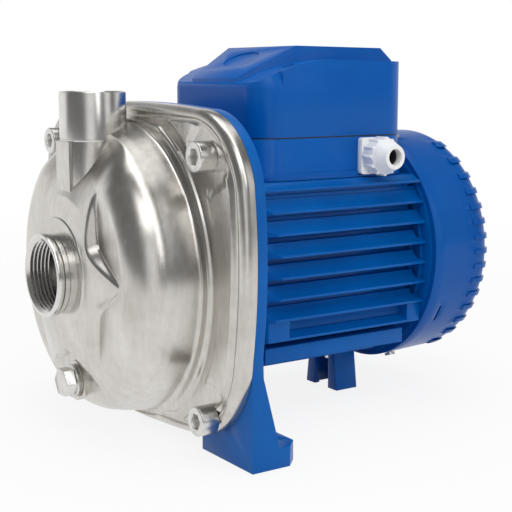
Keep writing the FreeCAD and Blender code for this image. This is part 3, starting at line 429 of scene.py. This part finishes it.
def straight(start, end, count):
    return [(start[0] + (end[0] - start[0]) * k / count, start[1] + (end[1] - start[1]) * k / count)
            for k in range(count + 1)]


alongX, alongZ = Vector((1, 0, 0)), Vector((0, 0, 1))


# A closed profile, started as a circle and pulled to its points, is spun round a line
def spunRing(name, points, steps, centre=shaftPoint, axis=alongX, up=alongZ):
    clearSelection()
    bpy.ops.mesh.primitive_circle_add(vertices=len(points), radius=0.01, location=(0, 0, 0))
    ring = bpy.context.object
    ring.name = name
    for vertex, (along, out) in zip(ring.data.vertices, points):
        vertex.co = centre + axis * (along / 1000) + up * (out / 1000)
    bpy.ops.object.mode_set(mode="EDIT")
    bpy.ops.mesh.select_all(action="SELECT")
    bpy.ops.mesh.spin(steps=steps, angle=math.tau, center=centre, axis=axis)
    bpy.ops.mesh.select_all(action="SELECT")
    bpy.ops.mesh.remove_doubles(threshold=mergeGap)
    bpy.ops.mesh.normals_make_consistent(inside=False)
    bpy.ops.object.mode_set(mode="OBJECT")
    return ring


def evenSlope(share, ease):      # a straight rise from 0 to 1 with both ends eased
    if share > 0.5:
        return 1 - evenSlope(1 - share, ease)
    if share < ease:
        return max(0, share) ** 2 / (2 * ease * (1 - ease))
    return (share - ease / 2) / (1 - ease)


def smoothStep(value, low, high):
    t = min(1.0, max(0.0, (value - low) / (high - low)))
    return t * t * (3 - 2 * t)


def cutWith(thing, tool, operation="DIFFERENCE"):
    pick(thing)
    modifier = thing.modifiers.new("cut", "BOOLEAN")
    modifier.operation = operation
    modifier.solver = "EXACT"
    modifier.object = tool
    bpy.ops.object.modifier_apply(modifier=modifier.name)
    bpy.data.objects.remove(tool)


def upright(radius, low, high, x, sides=96):     # a plain standing cylinder
    clearSelection()
    middle = place(x, 0, (low + high) / 2)
    bpy.ops.mesh.primitive_cylinder_add(vertices=sides, radius=radius / 1000,
                                        depth=(high - low) / 1000, location=middle)
    tool = bpy.context.object
    bpy.ops.object.transform_apply(location=True, rotation=False, scale=False)
    return tool


# Pressed casing: a spun bowl with pressed dents, drawn out to the outline of the flange
casingLook = {"half": 121.0, "top": 95.5, "low": 88.5, "waist": 18,
              "topCorner": ((50, 2.5), (18, 14), (3, 38)),     # from the outermost and top lines
              "lowCorner": ((4, 55), (18, 22), (50, 5)),       # from the outermost and low lines
              "face": -8.0, "sheet": 2.0, "steps": 360, "shade": 40, "bowlEdge": 84.0,
              "stepEdge": 91.0, "landEdge": 112.0, "rimEdge": 120.0, "rim": 8.0,
              "stepLeast": 1.2, "stepShare": 0.6, "landRise": (97.5, 99.1), "landFade": (8.2, 9.6),
              "landHeight": 1.4, "screwY": 89.0, "screwZ": 69.5, "seat": (18.5, 20.0),
              "dentRange": (34, 82), "dentBack": -26, "frontSlack": 0.5, "arcSteps": 24}
dentLook = {"span": 27.5, "skew": 3.0, "wall": 5.6, "wallLeast": 0.3, "depth": 7.0, "ease": 0.15,
            "lenses": (-152.5, -27.5, 27.5, 152.5),
            "lens": (37.5, 58.5, -46.0), "drain": (43.0, 66.5, -43.0),     # inner, outer, floor
            "neckStart": 44.0, "neckSlope": 0.6, "neckSpread": (15, 42)}


def mirrored(points):        # over the shaft, in the opposite order
    return tuple((-y, z) for y, z in reversed(points))


# Distance from the shaft to the outline of the flange, as a function of the angle
def flangeReach(look):
    half, top, low = look["half"], look["top"], look["low"]
    upper = tuple((half - y, top - z) for y, z in look["topCorner"])
    lower = tuple((half - y, z - low) for y, z in look["lowCorner"])
    corner = [upper, (upper[-1], (half, look["waist"]), lower[0]), lower]
    sides = [(*mirrored(upper[:1]), (0, top), upper[0]),
             (lower[-1], (0, -low), *mirrored(lower[-1:]))]
    sides += corner + [mirrored(side) for side in corner]
    table = []
    for side in sides:
        for y, z in arcThrough(*side, look["arcSteps"])[:-1]:
            table.append((math.degrees(math.atan2(z, y)) % 360, math.hypot(y, z)))
    table.sort()
    table = [(table[-1][0] - 360, table[-1][1])] + table + [(table[0][0] + 360, table[0][1])]

    def reach(angle):
        angle %= 360
        low, high = 0, len(table) - 1
        while high - low > 1:
            middle = (low + high) // 2
            low, high = (middle, high) if table[middle][0] <= angle else (low, middle)
        (a, ra), (b, rb) = table[low], table[high]
        return ra + (rb - ra) * (angle - a) / (b - a)
    return reach


bowlFace = arcThrough((-52.9, 33.2), (-50.4, 46.5), (-46.7, 59), 40)
bowlShoulder = arcThrough((-46.4, 59.8), (-41.2, 73), (-27, 81), 44)


def casingFront(out):        # where the front of the bowl stands at a distance from the shaft
    line = bowlFace + bowlShoulder
    for (x0, low), (x1, high) in zip(line, line[1:]):
        if low <= out <= high:
            return x0 + (x1 - x0) * (out - low) / (high - low)
    return line[0][0] if out < line[0][1] else line[-1][0]


def casingProfile(look):
    face, edge = look["face"], look["rimEdge"]
    outer = [(-54, 21.5), (-54, 31.0), (-53.9, 31.5), (-53.6, 31.8), (-53.1, 32.1)]
    outer += bowlFace + bowlShoulder
    outer += straight((-24, 81.8), (-12.4, 83.7), 8)
    outer += [(-11.2, 84.0), (-10.5, 84.6), (face - 2.2, 85.5), (face - 2.2, 87.5),
              (face - 2.2, 89.3), (face - 2.0, 90.1), (face - 1.2, 90.7), (face - 0.3, 91.2)]
    outer += straight((face, 92), (face, look["landEdge"] - 0.5), 26)
    outer += [(face + 0.5, 112.6), (face + 0.7, 113.6), (face + 0.3, 114.4)]
    outer += arcThrough((face, 115), (face + 1.7, 118.5), (-2.6, edge), 8)
    back = [(0, edge), (0, edge - 2), (-3.8, edge - 2), (-5.2, edge - 2.6), (-6, edge - 4)]
    inner = [(-6, 112), (-6, 91), (-6, 84), (-6, 82)]
    inner += straight((-12, 81.4), (-24, 79.8), 3)
    inner += arcThrough((-27, 79), (-39.6, 71.6), (-44.4, 59.0), 22)
    inner += arcThrough((-44.7, 58.2), (-48.4, 45.9), (-50.9, 33.0), 18)
    inner += [(-52, 29.8), (-52, 21.5)]
    return outer + back + inner


def drawnFlange(x, y, z, look, reach):      # out to the outline, with the land raised
    out = math.hypot(y, z)
    edge, step, land = look["bowlEdge"], look["stepEdge"], look["landEdge"]
    outline = reach(math.degrees(math.atan2(z, y)))
    newLand = max(outline - look["rim"], edge + look["stepLeast"])
    newStep = min(step, edge + (newLand - edge) * look["stepShare"])
    if out <= step:
        new = edge + (out - edge) / (step - edge) * (newStep - edge)
    elif out <= land:
        new = newStep + (out - step) / (land - step) * (newLand - newStep)
    else:
        new = newLand + (out - land) / (look["rimEdge"] - land) * (outline - newLand)
    y, z = y * new / out, z * new / out
    if step < out < land and x < look["face"] + look["frontSlack"]:
        apart = math.hypot(abs(y) - look["screwY"], abs(z) - look["screwZ"])
        rise = smoothStep(new, *look["landRise"]) * smoothStep(apart, *look["seat"])
        x -= look["landHeight"] * rise * smoothStep(outline - new, *look["landFade"])
    return x, y, z


def dentedBowl(x, y, z, sheet, look):       # pushed back at the dents and in front of the neck
    out, angle = math.hypot(y, z), math.degrees(math.atan2(z, y))
    here = casingFront(out)
    wallBack = sheet if x > here + sheet / 2 else 0
    dents = [(centre, look["lens"]) for centre in look["lenses"]] + [(-90, look["drain"])]
    for centre, (low, high, floor) in dents:
        turn = math.remainder(angle - centre, 360) / look["span"]
        if abs(turn) < 1:
            full = 1 - turn ** 2
            high -= look["skew"] * math.sin(math.radians(2 * centre)) * turn
            inner = high - (high - low) * full
            wall = look["wall"] * (look["wallLeast"] + (1 - look["wallLeast"]) * full)
            slope = here + look["depth"] * full * evenSlope((out - inner) / wall, look["ease"])
            x = max(x, min(slope, floor) + wallBack)
    if out > look["neckStart"]:
        beside = 1 - smoothStep(abs(math.remainder(angle - 90, 360)), *look["neckSpread"])
        slope = casingFront(look["neckStart"]) + look["neckSlope"] * (out - look["neckStart"])
        x += beside * max(0, slope + wallBack - x)
    return x, y, z


def pressedCasing(look):
    shell = spunRing("pressed_casing", casingProfile(look), look["steps"])
    reach = flangeReach(look)
    for vertex in shell.data.vertices:
        x = (vertex.co.x - jointX) * 1000
        y, z = vertex.co.y * 1000, (vertex.co.z - shaftZ) * 1000
        out = math.hypot(y, z)
        if out > look["bowlEdge"]:
            x, y, z = drawnFlange(x, y, z, look, reach)
        elif look["dentRange"][0] < out < look["dentRange"][1] and x < look["dentBack"]:
            x, y, z = dentedBowl(x, y, z, look["sheet"], dentLook)
        vertex.co = place(x, y, z)
    return shell


neckLook = {"radius": 19.4, "wall": 2.0, "x": -30.0, "low": 40, "top": 74.0, "steps": 144,
            "shade": 35, "round": (0.9, 3, 40),                               # width, steps, angle
            "strip": 8.6, "stripFace": -49.2, "stripMiddle": 58,
            "holes": ((17.4, 45, 75), (18.9, 74, 115)),                       # radius, low, high
            "bore": (30, 120), "insideSteps": 96,
            "inside": [(-44.5, 0.05), (-44.5, 47), (-35.5, 64), (-29, 75), (-24, 76.5), (-12, 78),
                       (0, 78), (0, 0.05)]}


# Standing neck and flat strip under the discharge port, cut off inside the wall of the bowl
def portNeck(look):
    neck = upright(look["radius"], look["low"], look["top"], look["x"], look["steps"])
    clearSelection()
    middle = place((look["stripFace"] + look["x"]) / 2, 0, look["stripMiddle"])
    bpy.ops.mesh.primitive_cube_add(size=1, location=middle)
    strip = bpy.context.object
    tall = 2 * (look["top"] - look["stripMiddle"])
    strip.scale = mm(look["x"] - look["stripFace"], 2 * look["strip"], tall)
    bpy.ops.object.transform_apply(location=True, rotation=False, scale=True)
    cutWith(neck, strip, "UNION")
    cutWith(neck, spunRing("inside", look["inside"], look["insideSteps"]))
    cutWith(neck, upright(look["radius"] - look["wall"], *look["bore"], look["x"]))
    roundEdges(neck, *look["round"])
    return neck


casing = pressedCasing(casingLook)
for hole in neckLook["holes"]:
    cutWith(casing, upright(*hole, neckLook["x"]))
smooth(casing, casingLook["shade"])
finishPiece(casing, "pressed_casing", "casing_steel", "housing", ["pump_casing"])
neck = portNeck(neckLook)
smooth(neck, neckLook["shade"])
finishPiece(neck, "discharge_neck", "casing_steel", "housing")
print("pressed casing made")


# Turned ports: stub with lips and grooves outside, thread crests inside
threadLook = {"pitch": 2.309, "depth": 1.25, "mouth": 1.7, "crestEnd": 0.2, "rootStart": 1.0,
              "rootEnd": 1.3}
suctionLook = {"reach": 64.0, "radius": 23.5, "bore": 19.5, "threads": 5, "inner": 38.0,
               "spigot": 21.4, "steps": 144, "shade": 28,
               "grooves": ((-56.2, 0.7, 1.5, 0.5), (-59.4, 0.5, 1.7, 0.1))}
dischargeLook = {"top": 101.5, "radius": 18.8, "bore": 15.15, "threads": 8, "low": 68.0,
                 "collar": 74.0, "spigot": 17.3, "steps": 144, "shade": 28}


def threadPoints(face, step, count, crest, look=threadLook):    # from the mouth inwards
    start, root = face + step * look["mouth"], crest + look["depth"]
    points = []
    for k in range(count):
        at = start + step * k * look["pitch"]
        points += [(at, crest), (at + step * look["crestEnd"], crest),
                   (at + step * look["rootStart"], root), (at + step * look["rootEnd"], root)]
    return points + [(start + step * count * look["pitch"], crest)]


def suctionPort(look):
    face, radius, bore, spigot = -look["reach"], look["radius"], look["bore"], look["spigot"]
    outside = [(-look["inner"], bore), (-look["inner"], spigot), (-54.05, spigot),
               (-54.0, radius - 0.7)]
    for start, before, depth, after in look["grooves"]:      # three depths under the radius
        outside += [(start, radius - before), (start - 0.3, radius - depth),
                    (start - 0.8, radius - depth), (start - 1.1, radius - after)]
    outside += [(-60.9, radius), (face + 0.8, radius), (face + 0.25, radius - 0.25),
                (face, radius - 0.8), (face, bore + 2.0), (face + 0.15, bore + 1.75)]
    inside = threadPoints(face, 1, look["threads"], bore)
    port = spunRing("suction_port", outside + inside, look["steps"])
    smooth(port, look["shade"])
    return finishPiece(port, "suction_port", "port_steel", "housing", ["suction_socket"])


def dischargePort(look):
    top, radius, bore, collar = look["top"], look["radius"], look["bore"], look["collar"]
    outside = [(look["low"], bore), (look["low"], look["spigot"]), (collar, look["spigot"]),
               (collar + 0.02, radius - 0.1), (collar + 0.9, radius), (collar + 1.1, radius - 0.5),
               (collar + 1.5, radius - 0.5), (collar + 1.7, radius), (top - 0.9, radius),
               (top - 0.3, radius - 0.25), (top, radius - 0.8), (top, bore + 1.9),
               (top - 0.15, bore + 1.7)]
    inside = threadPoints(top, -1, look["threads"], bore)
    middle = place(neckLook["x"], 0, 0)
    port = spunRing("discharge_port", outside + inside, look["steps"], middle, alongZ, alongX)
    smooth(port, look["shade"])
    return finishPiece(port, "discharge_port", "port_steel", "housing", ["discharge_socket"])


fastenersLook = {
    "casing_screws": {"width": 0.35, "slot": "bolt_steel", "angle": 40},
    "drain_plug": {"width": 0.4, "slot": "bolt_steel", "angle": 25},
    "fan_cover": {"width": 0.25, "slot": "blue_cover", "angle": 50, "steps": 1, "flat": 0.02},
}

suctionPort(suctionLook)
dischargePort(dischargeLook)
for node, look in fastenersLook.items():
    softened(node, **look)
print("ports, fasteners and cowl made")


# Finned frame: deep dark gaps under the thin lips, and a pocket between the end pads
finsLook = {"top": 46.5, "pitch": 12.4, "count": 8, "lip": 1.6, "gap": 4.4, "root": 55.0,
            "deep": 20.0, "front": 48.0, "back": 164.0, "pads": (62.5, 151.5), "pocket": 7.8}


def deepenFins(frameCopy, look=finsLook):
    clearSelection()
    tools = []
    for k in range(look["count"] - 1):
        lowest = k == look["count"] - 2
        top = look["top"] - look["pitch"] * k - look["lip"]
        low = top - (look["pocket"] if lowest else look["gap"])
        ends = look["pads"] if lowest else (look["front"], look["back"])
        for side in (-1, 1):
            middle = place(sum(ends) / 2, side * (look["root"] + look["deep"] / 2), (top + low) / 2)
            bpy.ops.mesh.primitive_cube_add(size=1, location=middle)
            tool = bpy.context.object
            tool.scale = mm(ends[1] - ends[0], look["deep"], top - low)
            bpy.ops.object.transform_apply(location=True, rotation=False, scale=True)
            tools.append(tool)
    clearSelection()
    for tool in tools:
        tool.select_set(True)
    bpy.context.view_layer.objects.active = tools[0]
    bpy.ops.object.join()
    cutWith(frameCopy, tools[0])


# Rolled front edge of the cowl
rollLook = {"x": 163.3, "inner": 70.4, "outer": 75.2, "round": 1.1, "steps": 144, "shade": 50}


def cowlRoll(look):
    x, inner, outer = look["x"], look["inner"], look["outer"]
    middle, back = x + look["round"], x + 2 * look["round"]
    points = [(x, inner), (x + 0.3, outer - 0.3), (middle, outer), (back, outer - 0.4),
              (back, inner)]
    roll = spunRing("cowl_roll", points, look["steps"])
    smooth(roll, look["shade"])
    return finishPiece(roll, "cowl_roll", "blue_cover", "housing")


# Blue castings and mouldings, and the white gland
castingsLook = {
    "motor_adapter": {"width": 0.8, "slot": "blue_casting"},
    "motor_frame": {"width": 0.45, "slot": "blue_casting", "shape": deepenFins},
}
mouldingsLook = {
    "terminal_base": {"width": 0.5, "slot": "blue_plastic"},
    "terminal_lid": {"width": 0.8, "slot": "blue_plastic"},
    "rear_foot": {"width": 0.5, "slot": "blue_casting"},
    "gland_nut": {"width": 0.4, "slot": "white_plastic", "body": "gland_ring"},
    "gland_body": {"width": 0.4, "slot": "white_plastic"},
}

for node, look in castingsLook.items():
    softened(node, **look)
cowlRoll(rollLook)
for node, look in mouldingsLook.items():
    softened(node, **look)
print("castings and mouldings made")

bpy.context.scene.view_settings.view_transform = "Standard"
